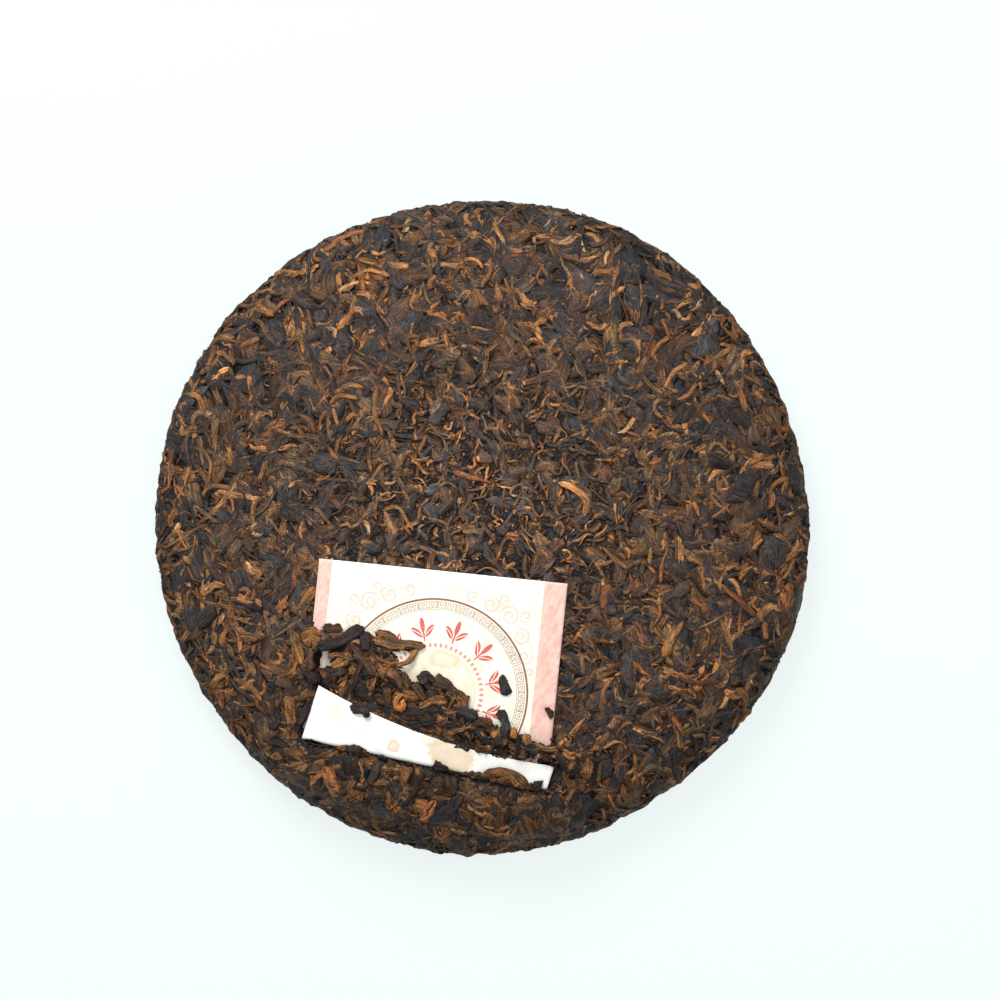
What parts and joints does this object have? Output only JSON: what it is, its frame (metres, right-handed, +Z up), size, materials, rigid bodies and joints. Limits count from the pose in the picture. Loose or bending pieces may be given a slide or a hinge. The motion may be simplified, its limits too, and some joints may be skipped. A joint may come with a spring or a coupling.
{
  "type": "pressed tea cake",
  "caption": "Round cake of pressed dark tea leaves, domed on top and hollowed below, with a folded square paper ticket pressed into its face under loose leaves.",
  "frame": {"origin": "on the surface that the cake lies on, under the middle of the cake", "axes": "+Z up out of the domed face; +Y towards the upper edge of the face as it is read from above, with the paper ticket in the lower left; +X to the right"},
  "size_m": [0.2008, 0.201, 0.0272],
  "materials": {
    "tea": "dark brown and black pressed tea leaves with golden brown strands, matte with a faint sheen",
    "ticket": "thin cream paper with pale pink side bands, a brown ring and a few tan tea stains"
  },
  "bodies": {
    "root": {"tea_cake": "tea", "paper_ticket": "ticket"}
  },
  "joints": []
}
